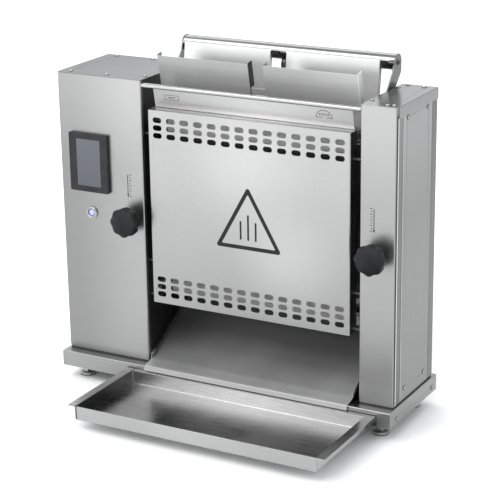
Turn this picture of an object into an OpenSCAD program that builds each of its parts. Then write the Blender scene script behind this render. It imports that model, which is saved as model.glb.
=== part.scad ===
// Vertical contact bun toaster: two columns on a base, a heated platen with a belt
// on each side between them, a feed throat on top, and a chute and a drawer tray below.
// Origin: on the floor, at the centre of the plan outline. +X to the right, -Y to the front.

/* [Columns] */
// Width of the left column, which holds the controls and the drive
left_w = 200; // [190:1:230]
// Width of the right column
right_w = 75; // [70:1:100]
// Clear width between the two columns
opening_w = 485; // [470:1:540]
// Depth of both columns
column_d = 196; // [190:1:220]
// Height of both columns
column_h = 600; // [590:1:640]
// Thickness of the casing sheet
sheet = 1.5; // [1:0.1:2]

/* [Base] */
// Height of the base casing
base_h = 34; // [32:1:50]
// How far the base reaches in front of the columns
base_front = 24; // [20:1:40]
// How far the base reaches behind the columns
base_rear = 13; // [10:1:30]
// How far the base reaches past each column's side
base_side = 4; // [2:1:8]
// Shadow gap between the base and the columns
seam = 3; // [2:0.5:4]

/* [Feet] */
// Height of the base above the floor with the feet screwed in
foot_h = 28; // [26:1:36]
// Diameter of the foot disc
foot_d = 34; // [28:1:40]
// Distance from the base's side to the foot's centre
foot_inset = 36; // [34:1:38]

/* [Tray] */
// How far the pulled-out tray reaches in front of the base
tray_out = 226; // [200:1:240]
// Inside width of the tray
tray_w = 534; // [500:1:540]
// Depth of the tray's pan
tray_h = 29.5; // [24:0.5:29.5]
// Width of the flanges along the tray's sides
tray_flange = 19; // [16:1:20]

/* [Front cover] */
// Width of the perforated cover
cover_w = 449; // [430:1:460]
// Height of the perforated cover
cover_h = 408; // [380:1:410]
// Length of one vent slot
slot_l = 20; // [14:1:24]
// Height of one vent slot
slot_h = 11; // [8:1:12]
// Vent slots in one row
slot_columns = 14; // [10:1:15]
// Distance between the vent slots along a row
slot_pitch_x = 31.2; // [28:0.1:32]
// Distance between the rows of vent slots
slot_pitch_z = 16; // [14:0.5:18]

/* [Knobs] */
// Diameter of the lobed knobs
knob_d = 63; // [50:1:70]
// Height of the knobs above the bottom of the columns
knob_z = 309; // [300:1:320]
// Distance from the opening's edges to the left and right knob axes
knob_in = [28, 37]; // [24:1:40]
// Diameter of the adjusting spindles
spindle_d = 10; // [8:1:12]
// Distance that a pressure plate moves from the middle of its range
press_travel = 4; // [2:0.5:4]

/* [Toasting unit] */
// Width of the belts and the platen
belt_w = 400; // [380:5:440]
// Diameter of the belt rollers
roller_d = 36; // [32:1:40]
// Height of the drive and idler rollers above the bottom of the columns
roller_z = [512, 167]; // [160:1:515]
// Distance between the front and the rear rollers, three gear pitch diameters
roller_gap = 102; // [102:1:102]
// Distance from the columns' front to the front rollers
roller_y = 47; // [45:1:48]
// Diameter of the roller shafts
shaft_d = 15; // [12:1:15]
// Teeth on each of the four reversing gears
gear_teeth = 17; // [17:2:17]
// Module of the reversing gears
gear_module = 2; // [2:1:2]

/* [Handle] */
// Diameter of the handle bar
bar_d = 32; // [24:1:34]
// Handle bar's centre behind the columns' front and above their bottom
bar_at = [178, 647]; // [170:1:660]
// Pivot of the arms behind the columns' front and above their bottom
pivot_at = [118, 566]; // [110:1:570]

/* [Hidden] */
$fn = 48;

total_w = left_w + opening_w + right_w;
left_x = -total_w / 2;
right_x = total_w / 2;
open_l = left_x + left_w;
open_r = right_x - right_w;
mid_x = (open_l + open_r) / 2;
front_y = (tray_out + base_front - column_d - base_rear) / 2;
back_y = front_y + column_d;
base_z = foot_h;
base_top = base_z + base_h;
col_z = base_top + seam;
col_top = col_z + column_h;
base_x = right_x + base_side;
base_y0 = front_y - base_front;
base_y1 = back_y + base_rear;
wall_in_l = open_l - sheet;
wall_in_r = open_r + sheet;
run = 0.05;
bend_r = 2.5;

steel = [0.78, 0.79, 0.80];
bright_steel = [0.86, 0.87, 0.88];
dark_steel = [0.25, 0.26, 0.27];
black = [0.06, 0.06, 0.07];
charcoal = [0.17, 0.18, 0.20];

// ---- plain shapes ----

// A block given by its limits along each axis
module span(x, y, z)
    translate([x[0], y[0], z[0]]) cube([x[1] - x[0], y[1] - y[0], z[1] - z[0]]);

// A rod along X, Y or Z from one coordinate to the other
module rod_x(x, y, z, r) translate([x[0], y, z]) rotate([0, 90, 0]) cylinder(h = x[1] - x[0], r = r);
module rod_y(x, y, z, r) translate([x, y[0], z]) rotate([-90, 0, 0]) cylinder(h = y[1] - y[0], r = r);
module rod_z(x, y, z, r) translate([x, y, z[0]]) cylinder(h = z[1] - z[0], r = r);

// A flat slot with round ends, centred, in the XY plane
module obround(l, h) {
    square([l - h, h], center = true);
    for (side = [-1, 1]) translate([side * (l - h) / 2, 0]) circle(d = h);
}

// A rectangle with round corners, centred, in the XY plane
module round_rect(w, h, r) {
    square([w, h - 2 * r], center = true);
    square([w - 2 * r, h], center = true);
    for (x = [-1, 1]) for (y = [-1, 1]) translate([x * (w / 2 - r), y * (h / 2 - r)]) circle(r);
}

// Turns a flat XY drawing into a plate that stands facing the front, y from back to front
module facing(y) translate([0, y[1], 0]) rotate([90, 0, 0]) linear_extrude(y[1] - y[0]) children();

// Turns a YZ drawing into a plate that spans X
module across(x) translate([x[0], 0, 0]) rotate([90, 0, 90]) linear_extrude(x[1] - x[0]) children();

// ---- bent sheet ----

function unit(v) = v / norm(v);
function left_of(v) = [-v.y, v.x];
function turned(v, a) = [v.x * cos(a) - v.y * sin(a), v.x * sin(a) + v.y * cos(a)];
// Points and normals round one bend of the centre line a-b-c
function bend(a, b, c, r, steps = 5) =
    let (u = unit(b - a), w = unit(c - b), turn = atan2(cross(u, w), u * w))
    let (start = b - u * r * tan(abs(turn) / 2), hub = start + sign(turn) * r * left_of(u))
    [for (i = [0 : steps]) let (n = turned(left_of(u), turn * i / steps)) [hub - sign(turn) * r * n, n]];
// Centre line of a bent sheet as points with normals
function folded(path, r) = concat(
    [[path[0], left_of(unit(path[1] - path[0]))]],
    [for (i = [1 : len(path) - 2]) each bend(path[i - 1], path[i], path[i + 1], r)],
    [[path[len(path) - 1], left_of(unit(path[len(path) - 1] - path[len(path) - 2]))]]);
// Section of a sheet of thickness t bent along a path
module bent_sheet(path, t = sheet, r = bend_r) {
    line = folded(path, r);
    last = len(line) - 1;
    polygon(concat([for (p = line) p[0] + p[1] * t / 2],
        [for (i = [last : -1 : 0]) line[i][0] - line[i][1] * t / 2]));
}

// ---- pans ----

function arc(hub, r, from, to, steps = 5) =
    [for (i = [0 : steps]) let (a = from + (to - from) * i / steps) hub + r * [cos(a), sin(a)]];
// Section of a pan across w, from its open side z[0] to its closed side z[1], with both folds rounded
function pan_section(w, z, r) = let (s = sign(z[1] - z[0])) concat([[w[0], z[0]], [w[1], z[0]]],
    arc([w[1] - r, z[1] - s * r], r, 0, 90 * s), arc([w[0] + r, z[1] - s * r], r, 90 * s, 180 * s));
// Block whose four edges on the z[1] side are rounded
module pan_block(x, y, z, r) intersection() {
    across(x) polygon(pan_section(y, z, r));
    facing(y) polygon(pan_section(x, z, r));
}
// Folded pan of thickness sheet, open at z[0]
module pan(x, y, z, r) {
    s = sign(z[1] - z[0]);
    difference() {
        pan_block(x, y, z, r);
        pan_block([x[0] + sheet, x[1] - sheet], [y[0] + sheet, y[1] - sheet],
            [z[0] - s, z[1] - s * sheet], r - sheet);
    }
}

// ---- fasteners ----

// Radius of the holes for the casing screws
screw_hole = 2.2;

// Dome-headed screw with a hexagon socket, head towards +Z, seat at z = 0
module screw(d = 8, h = 2.6, shank = 4) difference() {
    union() {
        rotate_extrude() polygon([[0, 0], [d / 2, 0], [d / 2, h * 0.35], [d * 0.42, h * 0.7],
            [d * 0.28, h * 0.94], [0, h]]);
        translate([0, 0, -shank]) cylinder(h = shank, d = d / 2);
    }
    translate([0, 0, h * 0.45]) cylinder(h = h, d = d * 0.45, $fn = 6);
}

// ---- base ----

tray_x0 = mid_x - tray_w / 2 + 5.5;
tray_x1 = mid_x + tray_w / 2 + 5.5;
tray_top = col_z - 12.5;
tray_bottom = tray_top - tray_h;
tray_front = base_y0 - tray_out;
tray_rim = 12;
tray_travel = 185;
tab_back = base_y0 + 30;
flange_l = tray_x0 - tray_flange;
flange_r = tray_x1 + tray_flange;
foot_x = base_x - foot_inset;
foot_y = [front_y + 15, back_y - 26];
base_screw_ys = [front_y + 9, back_y - 10];
base_screw_z = base_z + 12;
fold_r = 2.5;
stud_d = 8;

module base_pan() color(steel) difference() {
    union() {
        pan([-base_x, base_x], [base_y0, base_y1], [base_z, base_top], fold_r);
        for (x = [-base_x, base_x - 43])
            span([x, x + 43], [base_y0, base_y1], [base_z, base_z + sheet]);
    }
    span([flange_l - 1.5, flange_r + 1.5], [base_y0 - 1, base_y0 + sheet + 0.2], [base_z - 1, tray_top + 1]);
    for (x = [-foot_x, foot_x]) for (y = foot_y) rod_z(x, y, [base_z - 1, base_z + 3], 4.3);
    for (x = [left_x + 60, open_l - 60, open_r + right_w / 2]) for (y = [front_y + 30, back_y - 30])
        rod_z(x, y, [base_top - 3, base_top + 1], 3.2);
    for (x = [-base_x, base_x]) for (y = base_screw_ys)
        rod_x([x - 3, x + 3], y, base_screw_z, screw_hole);
}

// Guide bars under the base's top that carry the tray's flanges
module drawer_rails() for (side = [-1, 1]) {
    x0 = side < 0 ? flange_l - 4.5 : flange_r - 13;
    mouth = side < 0 ? [flange_l - 1, flange_l + 14] : [flange_r - 14, flange_r + 1];
    difference() {
        span([x0, x0 + 17.5], [base_y0 + 3, base_y1 - 3], [tray_top - 3.6, base_top - sheet]);
        span(mouth, [base_y0, base_y1], [tray_top - sheet - 0.3, tray_top + 0.4]);
    }
}

// ---- columns ----

inlet_x = left_x + 60;
fan_x = left_x + 118;
fan_z = col_z + 90;
panel_x = left_x + 72.3;
panel_z = col_z + 417;
button_x = left_x + 72;
button_z = col_z + 309.5;
knob_x = [open_l - knob_in[0], open_r + knob_in[1]];
bush_r = 9;
strip = 30;
rear_strip = 26;
inner_strip = 8;
side_screw_ys = [front_y + 52, front_y + 148];
side_screw_zs = [col_z + 24, col_z + 573];
lid_left = [[left_x + 22, 17], [left_x + 110, 17], [open_l - 12, 38], [open_l - 12, 160],
    [left_x + 26, 186], [left_x + 116, 186]];
lid_right = [[open_r + 7, 38], [right_x - 25, 12], [right_x - 12, 14], [open_r + 7, 160],
    [open_r + 16, 185], [right_x - 23, 182]];

// Front of a column with a return round the outer side and a short one into the opening
module front_shell(x_inner, x_outer) {
    side = sign(x_outer - x_inner) * sheet / 2;
    y = front_y + sheet / 2;
    translate([0, 0, col_z]) linear_extrude(column_h) bent_sheet([[x_inner + side, front_y + inner_strip],
        [x_inner + side, y], [x_outer - side, y], [x_outer - side, front_y + strip]]);
}

module left_front_panel() color(steel) difference() {
    front_shell(open_l, left_x);
    translate([panel_x, 0, panel_z]) facing([front_y - 1, front_y + 3]) square([86, 114], center = true);
    rod_y(button_x, [front_y - 1, front_y + 3], button_z, 11);
    rod_y(knob_x[0], [front_y - 1, front_y + 3], col_z + knob_z, bush_r);
}

module right_front_panel() color(steel) difference() {
    front_shell(open_r, right_x);
    rod_y(knob_x[1], [front_y - 1, front_y + 3], col_z + knob_z, bush_r);
}

// Flat side cover between the front and rear returns
module side_cover(x) difference() {
    span([x, x + sheet], [front_y + strip + 1, back_y - rear_strip - 1], [col_z, col_top]);
    for (y = side_screw_ys) for (z = side_screw_zs) rod_x([x - 1, x + 3], y, z, screw_hole);
}

module left_side_cover() color(steel) side_cover(left_x);
module right_side_cover() color(steel) side_cover(right_x - sheet);

// Back of a column with its return round the outer side
module back_shell(x_inner, x_outer) {
    side = sign(x_outer - x_inner);
    x = x_outer - side * sheet / 2;
    translate([0, 0, col_z]) linear_extrude(column_h) bent_sheet([[x_inner, back_y - sheet / 2],
        [x, back_y - sheet / 2], [x, back_y - rear_strip]]);
}

module left_back_panel() color(steel) difference() {
    back_shell(open_l, left_x);
    for (a = [0 : 60 : 300]) for (ring = [14, 28])
        rod_y(fan_x + ring * cos(a + ring), [back_y - 3, back_y + 1], fan_z + ring * sin(a + ring), 5);
    rod_y(fan_x, [back_y - 3, back_y + 1], fan_z, 5);
    rod_y(inlet_x - 20, [back_y - 3, back_y + 1], col_z + 40, 12.5);
    for (row = [0 : 5])
        translate([left_x + 100, 0, col_z + 430 + row * 16]) facing([back_y - 3, back_y + 1]) obround(70, 5);
}

module right_back_panel() color(steel) difference() {
    back_shell(open_r, right_x);
    for (row = [0 : 5]) translate([open_r + right_w / 2, 0, col_z + 430 + row * 16])
        facing([back_y - 3, back_y + 1]) obround(40, 5);
}

// Lid of a column with a skirt down its outer side
module top_cover(x_inner, x_outer, screws) {
    side = sign(x_outer - x_inner);
    x = x_outer + side * sheet / 2;
    difference() {
        span([min(x_inner, x_outer), max(x_inner, x_outer)], [front_y, back_y], [col_top, col_top + sheet]);
        for (p = screws) rod_z(p.x, front_y + p.y, [col_top - 1, col_top + 3], screw_hole);
    }
    translate([0, back_y - 1, 0]) rotate([90, 0, 0]) linear_extrude(column_d - 10)
        bent_sheet([[x_outer - side * 8, col_top + sheet / 2], [x, col_top + sheet / 2],
            [x, col_top - 21]], r = 1);
}

module left_top_cover() color(steel) top_cover(open_l, left_x, lid_left);
module right_top_cover() color(steel) top_cover(open_r, right_x, lid_right);

// ---- inner walls ----

roller_ys = [front_y + roller_y, front_y + roller_y + roller_gap];
roller_zs = [col_z + roller_z[0], col_z + roller_z[1]];
gear_step = gear_teeth * gear_module;
belt_x = [mid_x - belt_w / 2, mid_x + belt_w / 2];
press_ys = [roller_ys[0] + 12, roller_ys[1] - 12];
bearing_r = 13;
heater_y = front_y + roller_y + roller_gap / 2;
heater_zs = [for (i = [0 : 2]) each [col_z + 240 + i * 100, col_z + 280 + i * 100]];
wall_top = col_top;

module inner_wall(x) difference() {
    span(x, [front_y + inner_strip, back_y - sheet], [col_z, wall_top]);
    for (y = roller_ys) for (z = roller_zs) rod_x([x[0] - 1, x[1] + 1], y, z, bearing_r);
}

module left_inner_wall() color(dark_steel) difference() {
    inner_wall([wall_in_l, open_l]);
    for (z = heater_zs) rod_x([wall_in_l - 1, open_l + 1], heater_y, z, 6);
    span([wall_in_l - 1, open_l + 1], [press_ys[0] - 10, press_ys[0] + 10],
        [col_z + knob_z - 16, col_z + knob_z + 16]);
}

module right_inner_wall() color(dark_steel) difference() {
    inner_wall([open_r, wall_in_r]);
    span([open_r - 1, wall_in_r + 1], [press_ys[1] - 10, press_ys[1] + 10],
        [col_z + knob_z - 16, col_z + knob_z + 16]);
}

module rear_panel() color(steel) difference() {
    span([open_l, open_r], [back_y - sheet, back_y], [col_z, col_z + 535]);
    for (row = [0 : 2]) for (i = [0 : 9]) for (z = [col_z + 120, col_z + 440])
        translate([mid_x + (i - 4.5) * 42, 0, z + row * 14]) facing([back_y - 3, back_y + 1]) obround(28, 6);
}

// ---- discharge ----

chute_x = [mid_x - 239, mid_x + 230];
chute_t = 1.2;
chute_lip = [front_y - 28.5, col_z - 11.5];
chute_bend = [front_y - base_front - 1, col_z - 2.3];
chute_turn = [front_y - 4, col_z + 2.2];
chute_top = [front_y + 168, col_z + 90];
chute_slope = atan2(chute_top.y - chute_turn.y, chute_top.x - chute_turn.x);

module chute() color(steel) {
    across(chute_x) bent_sheet([chute_lip, chute_bend, chute_turn, chute_top, chute_top + [3, 30]],
        t = chute_t, r = 4);
    for (x = [chute_x[0], chute_x[1] - chute_t]) across([x, x + chute_t])
        polygon([chute_turn + [4, 1.5], chute_top + [-2, -1.2], chute_top + [-5, 14],
            chute_turn + [16, 18], chute_turn + [6, 10]]);
}

// ---- upper front ----

module top_rail() color(bright_steel) across([open_l, open_r]) difference() {
    translate([front_y + 6, col_z + 590.5]) circle(d = 10);
    translate([front_y + 6, col_z + 590.5]) circle(d = 7);
}

module upper_front_panel() color(steel) across([mid_x - 221, mid_x + 221])
    bent_sheet([[front_y + 38, col_z + 545.3], [front_y + 21.5, col_z + 545.3],
        [front_y + 14, col_z + 584], [front_y + 13, col_z + 593]], t = 1.2, r = 2);

guide_t = 1.2;
guide_top = [front_y + 44, col_z + 645];
guide_end = [front_y + 67, col_z + 533];
guide_lean = atan2(guide_end.x - guide_top.x, guide_top.y - guide_end.y);
guide_len = norm(guide_end - guide_top);
guide_x = [mid_x - 228, mid_x + 217];
notch_x = [mid_x - 20, mid_x + 11.5];
notch_h = 50;
lip_d = 16;

// Front guide sheet: two raised leaves with a notch between them and lips turned back
module front_feed_guide() color(steel)
    translate([0, guide_top.x, guide_top.y]) rotate([guide_lean, 0, 0]) {
        difference() {
            span(guide_x, [0, guide_t], [-guide_len, 0]);
            span(notch_x, [-1, 2], [-notch_h, 1]);
        }
        for (x = [guide_x[0], guide_x[1] - guide_t]) span([x, x + guide_t], [0, lip_d], [-62, 2.5]);
        for (x = [notch_x[0] - guide_t, notch_x[1]]) span([x, x + guide_t], [0, lip_d], [-notch_h, 2.5]);
    }

// ---- platen ----

platen_half = 11;
platen_gap = 4.3;
platen_z = [col_z + 180, col_z + 532];

module platen_front_plate() color("darkgray")
    span(belt_x, [heater_y - platen_half, heater_y - platen_gap], platen_z);
module platen_rear_plate() color("darkgray")
    span(belt_x, [heater_y + platen_gap, heater_y + platen_half], platen_z);

// Peaked cap that parts the two lanes above the platen
module platen_cap() color(steel) across(belt_x)
    polygon([[heater_y - platen_half, platen_z[1]], [heater_y + platen_half, platen_z[1]],
        [heater_y + 1.5, platen_z[1] + 13], [heater_y - 1.5, platen_z[1] + 13]]);

// Three hairpin tubes between the platen's plates
module heating_elements() color("dimgray") for (i = [0 : 2]) {
    z = (heater_zs[2 * i] + heater_zs[2 * i + 1]) / 2;
    for (leg = [0, 1]) rod_x([wall_in_l - 12, belt_x[1] - 50], heater_y, heater_zs[2 * i + leg], 4);
    translate([belt_x[1] - 50, heater_y, z]) rotate([90, 0, 0]) rotate([0, 0, -90])
        rotate_extrude(angle = 180) translate([20, 0]) circle(4);
}

// Brackets that carry the platen and the spindles, the column floors and the tray's guide bars
module inner_brackets() color(dark_steel) {
    column_floor([left_x + sheet, wall_in_l]);
    column_floor([wall_in_r, right_x - sheet]);
    for (z = [platen_z[0] + 12, platen_z[1] - 30]) for (x = [[open_l, belt_x[0]], [belt_x[1], open_r]])
        span(x, [heater_y - platen_half, heater_y + platen_half], [z, z + 18]);
    spindle_bracket([knob_x[0] - 16, wall_in_l], front_y + 84, knob_x[0]);
    spindle_bracket([wall_in_r, knob_x[1] + 16], front_y + 154, knob_x[1]);
    drawer_rails();
}

// Frame between the base and a column, set back behind the column's sheets
module column_floor(x) translate([(x[0] + x[1]) / 2, (front_y + back_y) / 2, base_top])
    linear_extrude(seam + 5) difference() {
        round_rect(x[1] - x[0], column_d - 2 * sheet, 2.5);
        square([x[1] - x[0] - 24, column_d - 28], center = true);
    }

module spindle_bracket(x, y, x_hole) difference() {
    span(x, [y, y + 3], [col_z + knob_z - 18, col_z + knob_z + 18]);
    rod_y(x_hole, [y - 1, y + 4], col_z + knob_z, spindle_d / 2 + run);
}

// ---- belts, rollers and gears ----

belt_gap = 0.3;
belt_t = 1.6;
belt_r = roller_d / 2 + belt_gap;

module stadium(r) {
    for (z = roller_zs) translate([0, z]) circle(r);
    translate([-r, roller_zs[1]]) square([2 * r, roller_zs[0] - roller_zs[1]]);
}

module belt(y) across([belt_x[0] + 2, belt_x[1] - 2]) translate([y, 0]) difference() {
    stadium(belt_r + belt_t);
    stadium(belt_r);
}

module front_belt() color("slategray") belt(roller_ys[0]);
module rear_belt() color("slategray") belt(roller_ys[1]);

gear_x = [wall_in_l - 21, wall_in_l - 11];
coupling_x = [left_x + 148, left_x + 172];
shaft_end_l = wall_in_l - 9;
shaft_end_r = wall_in_r + 11;

module roller(y, z, x_left) {
    rod_x([belt_x[0] + 1, belt_x[1] - 1], y, z, roller_d / 2);
    rod_x([x_left, shaft_end_r], y, z, shaft_d / 2);
}

// The drive roller's shaft ends in a coupling and a stub that enters the gear motor
module front_drive_roller() color("silver") {
    roller(roller_ys[0], roller_zs[0], coupling_x[0] + 4);
    rod_x(coupling_x, roller_ys[0], roller_zs[0], 13);
    rod_x([coupling_x[0] - 18, coupling_x[0]], roller_ys[0], roller_zs[0], 6);
}
module rear_drive_roller() color("silver") roller(roller_ys[1], roller_zs[0], gear_x[0] - 2);
module front_idler_roller() color("silver") roller(roller_ys[0], roller_zs[1], shaft_end_l);
module rear_idler_roller() color("silver") roller(roller_ys[1], roller_zs[1], shaft_end_l);

module roller_bearings() color("gainsboro") for (y = roller_ys) for (z = roller_zs) {
    bearing([wall_in_l - 7, open_l], [wall_in_l - 3, wall_in_l], y, z);
    bearing([open_r, wall_in_r + 7], [wall_in_r, wall_in_r + 3], y, z);
}

module bearing(body, flange, y, z) difference() {
    union() {
        rod_x(body, y, z, bearing_r);
        rod_x(flange, y, z, bearing_r + 5);
    }
    rod_x([body[0] - 1, body[1] + 1], y, z, shaft_d / 2 + run);
}

// Involute flank of a gear tooth, thinned by the backlash
pitch_r = gear_step / 2;
pressure = 20;
root_r = pitch_r - 1.25 * gear_module;
tip_r = pitch_r + 0.9 * gear_module;
ground_r = pitch_r * cos(pressure);
backlash = 0.35;
function roll(r) = sqrt(pow(r / ground_r, 2) - 1) * 180 / PI;
function involute(r) = roll(r) - atan(roll(r) * PI / 180);
half_tooth = 90 / gear_teeth - backlash / pitch_r * 45 / PI;
function flank(r) = half_tooth + involute(pitch_r) - involute(max(r, ground_r));
flank_r = [for (i = [0 : 5]) max(root_r, ground_r) + (tip_r - max(root_r, ground_r)) * i / 5];
function polar(r, a) = [r * cos(a), r * sin(a)];
function tooth(a) = concat([polar(root_r, a - flank(root_r) - 0.4)],
    [for (r = flank_r) polar(r, a - flank(r))],
    [for (i = [5 : -1 : 0]) polar(flank_r[i], a + flank(flank_r[i]))],
    [polar(root_r, a + flank(root_r) + 0.4)]);

module gear(y, bore) across(gear_x) translate([y, roller_zs[0]]) difference() {
    polygon([for (i = [0 : gear_teeth - 1]) each tooth(i * 360 / gear_teeth)]);
    circle(bore);
}

module front_gear() color("tan") gear(roller_ys[0], shaft_d / 2);
module rear_gear() color("tan") gear(roller_ys[1], shaft_d / 2);
module front_reversing_gear() color("tan") gear(roller_ys[0] + gear_step, 6 + run);
module rear_reversing_gear() color("tan") gear(roller_ys[0] + 2 * gear_step, 6 + run);

cover_x = [mid_x - cover_w / 2, mid_x + cover_w / 2];
cover_y = front_y - 5;
cover_z = [col_z + 544.5 - cover_h, col_z + 544.5];
cover_side = 32;
hook_zs = [col_z + 146, col_z + 220, col_z + 490];
hook_y = 20;
hook_r = 3.5;
arm_x = [[open_l + 2.5, open_l + 5.5], [open_r - 5.5, open_r - 2.5]];
pivot = [front_y + pivot_at[0], col_z + pivot_at[1]];
bar = [front_y + bar_at[0], col_z + bar_at[1]];

// Pins riveted to the inner walls: gear axles, arm pivots and cover hooks
module wall_pins() color(bright_steel) {
    for (i = [1, 2]) rod_x([gear_x[0] - 2, wall_in_l], roller_ys[0] + i * gear_step, roller_zs[0], 6);
    rod_x([open_l, open_l + 8], pivot.x, pivot.y, 5);
    rod_x([open_r - 8, open_r], pivot.x, pivot.y, 5);
    for (z = hook_zs) {
        rod_x([open_l, cover_x[0] + 5], cover_y + hook_y, z, hook_r);
        rod_x([cover_x[1] - 5, open_r], cover_y + hook_y, z, hook_r);
    }
}

module front_pressure_plate() color("darkgray") pressure_plate(press_ys[0], knob_x[0]);
module rear_pressure_plate() color("darkgray") pressure_plate(press_ys[1], knob_x[1]);

// Backing plate inside a belt, with an arm to the nut on its spindle
module pressure_plate(y, x_nut) difference() {
    union() {
        span([belt_x[0] + 3, belt_x[1] - 3], [y - 1.5, y + 1.5], [col_z + 240, col_z + 460]);
        span([min(x_nut, belt_x[1] - 9), max(x_nut, belt_x[0] + 9)], [y - 1.5, y + 1.5],
            [col_z + knob_z - 11, col_z + knob_z + 11]);
        rod_y(x_nut, [y - 8, y + 8], col_z + knob_z, 11);
    }
    rod_y(x_nut, [y - 9, y + 9], col_z + knob_z, spindle_d / 2 + run);
}

// ---- drive and electrics ----

motor_x = [left_x + 14, left_x + 92, coupling_x[0] - 8];

module gear_motor() color("dimgray") difference() {
    union() {
        rod_x([motor_x[0], motor_x[1]], roller_ys[0], roller_zs[0], 25);
        rod_x([motor_x[1], motor_x[2]], roller_ys[0], roller_zs[0], 29);
        rod_x([motor_x[2], motor_x[2] + 6], roller_ys[0], roller_zs[0], 11);
    }
    rod_x([motor_x[2] - 14, motor_x[2] + 7], roller_ys[0], roller_zs[0], 6 + run);
}

module motor_bracket() color(steel) difference() {
    union() {
        span([motor_x[2], motor_x[2] + 3], [front_y + 12, front_y + 84], [roller_zs[0] - 36, roller_zs[0] + 36]);
        for (z = [roller_zs[0] - 36, roller_zs[0] + 33])
            span([motor_x[2], wall_in_l], [front_y + 12, front_y + 84], [z, z + 3]);
    }
    rod_x([motor_x[2] - 1, motor_x[2] + 4], roller_ys[0], roller_zs[0], 11);
}

module control_board() color("seagreen") {
    board = [left_x + 10, left_x + 11.6];
    span(board, [front_y + 50, front_y + 160], [col_z + 270, col_z + 420]);
    span([board[1], board[1] + 16], [front_y + 60, front_y + 90], [col_z + 280, col_z + 320]);
    for (i = [0 : 3])
        span([board[1], board[1] + 14], [front_y + 110, front_y + 128], [col_z + 285 + i * 30, col_z + 305 + i * 30]);
    span([board[1], board[1] + 4], [front_y + 62, front_y + 88], [col_z + 350, col_z + 376]);
    for (y = [front_y + 56, front_y + 154]) for (z = [col_z + 276, col_z + 414])
        rod_x([left_x + sheet, board[0]], y, z, 3);
}

module power_supply() color("silver") difference() {
    span([left_x + sheet, left_x + 42], [front_y + 34, front_y + 134], [col_z + 120, col_z + 235]);
    for (i = [0 : 6]) span([left_x + 38, left_x + 43], [front_y + 46, front_y + 122],
        [col_z + 132 + i * 14, col_z + 137 + i * 14]);
}

fan_y = [back_y - sheet - 25, back_y - sheet];

module fan_frame() color(black) difference() {
    span([fan_x - 40, fan_x + 40], fan_y, [fan_z - 40, fan_z + 40]);
    rod_y(fan_x, [fan_y[0] + 4, fan_y[1] + 1], fan_z, 37.5);
    for (a = [0 : 90 : 270]) translate([fan_x, 0, fan_z]) rotate([0, a, 0])
        translate([24, 0, 0]) facing([fan_y[0] - 1, fan_y[0] + 5]) circle(12);
}

module fan_rotor() color(charcoal) translate([fan_x, fan_y[0] + 6, fan_z]) rotate([-90, 0, 0]) {
    cylinder(h = 16, r = 16);
    for (a = [0 : 51.43 : 359]) rotate([0, 0, a]) translate([14, -1, 3])
        rotate([28, 0, 0]) cube([22, 1.6, 14]);
}

module cable_gland() color(black) difference() {
    union() {
        rod_y(inlet_x - 20, [back_y - 12, back_y + 3], col_z + 40, 12.4);
        translate([inlet_x - 20, back_y, col_z + 40]) rotate([-90, 0, 0]) cylinder(h = 6, r = 16, $fn = 6);
        rod_y(inlet_x - 20, [back_y + 6, back_y + 12], col_z + 40, 12);
        translate([inlet_x - 20, back_y - 8, col_z + 40]) rotate([-90, 0, 0]) cylinder(h = 6, r = 16, $fn = 6);
    }
    rod_y(inlet_x - 20, [back_y - 13, back_y + 13], col_z + 40, 6);
}

// ---- controls ----

screen_w = 57.5;
screen_h = 100;
bezel_out = 8;

module touch_panel_housing() color(charcoal) difference() {
    translate([panel_x, 0, panel_z]) union() {
        facing([front_y - bezel_out, front_y]) round_rect(93, 124, 3.5);
        facing([front_y, front_y + 28]) square([85.6, 113.6], center = true);
    }
    translate([panel_x, 0, panel_z]) facing([front_y - bezel_out - 1, front_y - bezel_out + 1.2])
        round_rect(screen_w, screen_h, 1.5);
}

module touch_screen() color("lightsteelblue")
    translate([panel_x, 0, panel_z]) facing([front_y - bezel_out + 0.4, front_y - bezel_out + 1.2])
        round_rect(screen_w - 0.4, screen_h - 0.4, 1.3);

module button_body() color("silver") {
    difference() {
        union() {
            rod_y(button_x, [front_y - 3.6, front_y], button_z, 12.5);
            rod_y(button_x, [front_y, front_y + 30], button_z, 10.9);
            translate([button_x, front_y + sheet, button_z]) rotate([-90, 0, 0])
                cylinder(h = 4, r = 14.5, $fn = 6);
        }
        rod_y(button_x, [front_y - 4, front_y + 8], button_z, 8.6);
    }
}

module button_cap() color("mediumpurple") translate([button_x, front_y + 5, button_z])
    rotate([90, 0, 0]) rotate_extrude() polygon([[0, 0], [8.3, 0], [8.3, 6.6], [7.6, 7.3], [0, 7.6]]);

knob_back = front_y - 9;
knob_front = front_y - 46;
lobes = 8;

// Lobed hand knob on a round hub
module knob(x) difference() {
    translate([x, knob_back, col_z + knob_z]) rotate([90, 0, 0]) {
        cylinder(h = 18, r1 = 13, r2 = 16);
        translate([0, 0, 16]) linear_extrude(17) lobed(0);
        translate([0, 0, 33]) linear_extrude(2) lobed(1.5);
        translate([0, 0, 35]) linear_extrude(2) circle(d = knob_d * 0.5);
    }
    rod_y(x, [knob_front + 12, knob_back + 1], col_z + knob_z, spindle_d / 2);
}

module lobed(inset) {
    circle(d = knob_d * 0.86 - 2 * inset);
    for (i = [0 : lobes - 1]) rotate(i * 360 / lobes)
        translate([knob_d / 2 - 8, 0]) circle(8 - inset);
}

module left_knob() color(black) knob(knob_x[0]);
module right_knob() color(black) knob(knob_x[1]);

module left_spindle() color(bright_steel)
    rod_y(knob_x[0], [knob_front + 12, front_y + 92], col_z + knob_z, spindle_d / 2);
module right_spindle() color(bright_steel)
    rod_y(knob_x[1], [knob_front + 12, front_y + 164], col_z + knob_z, spindle_d / 2);

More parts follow.
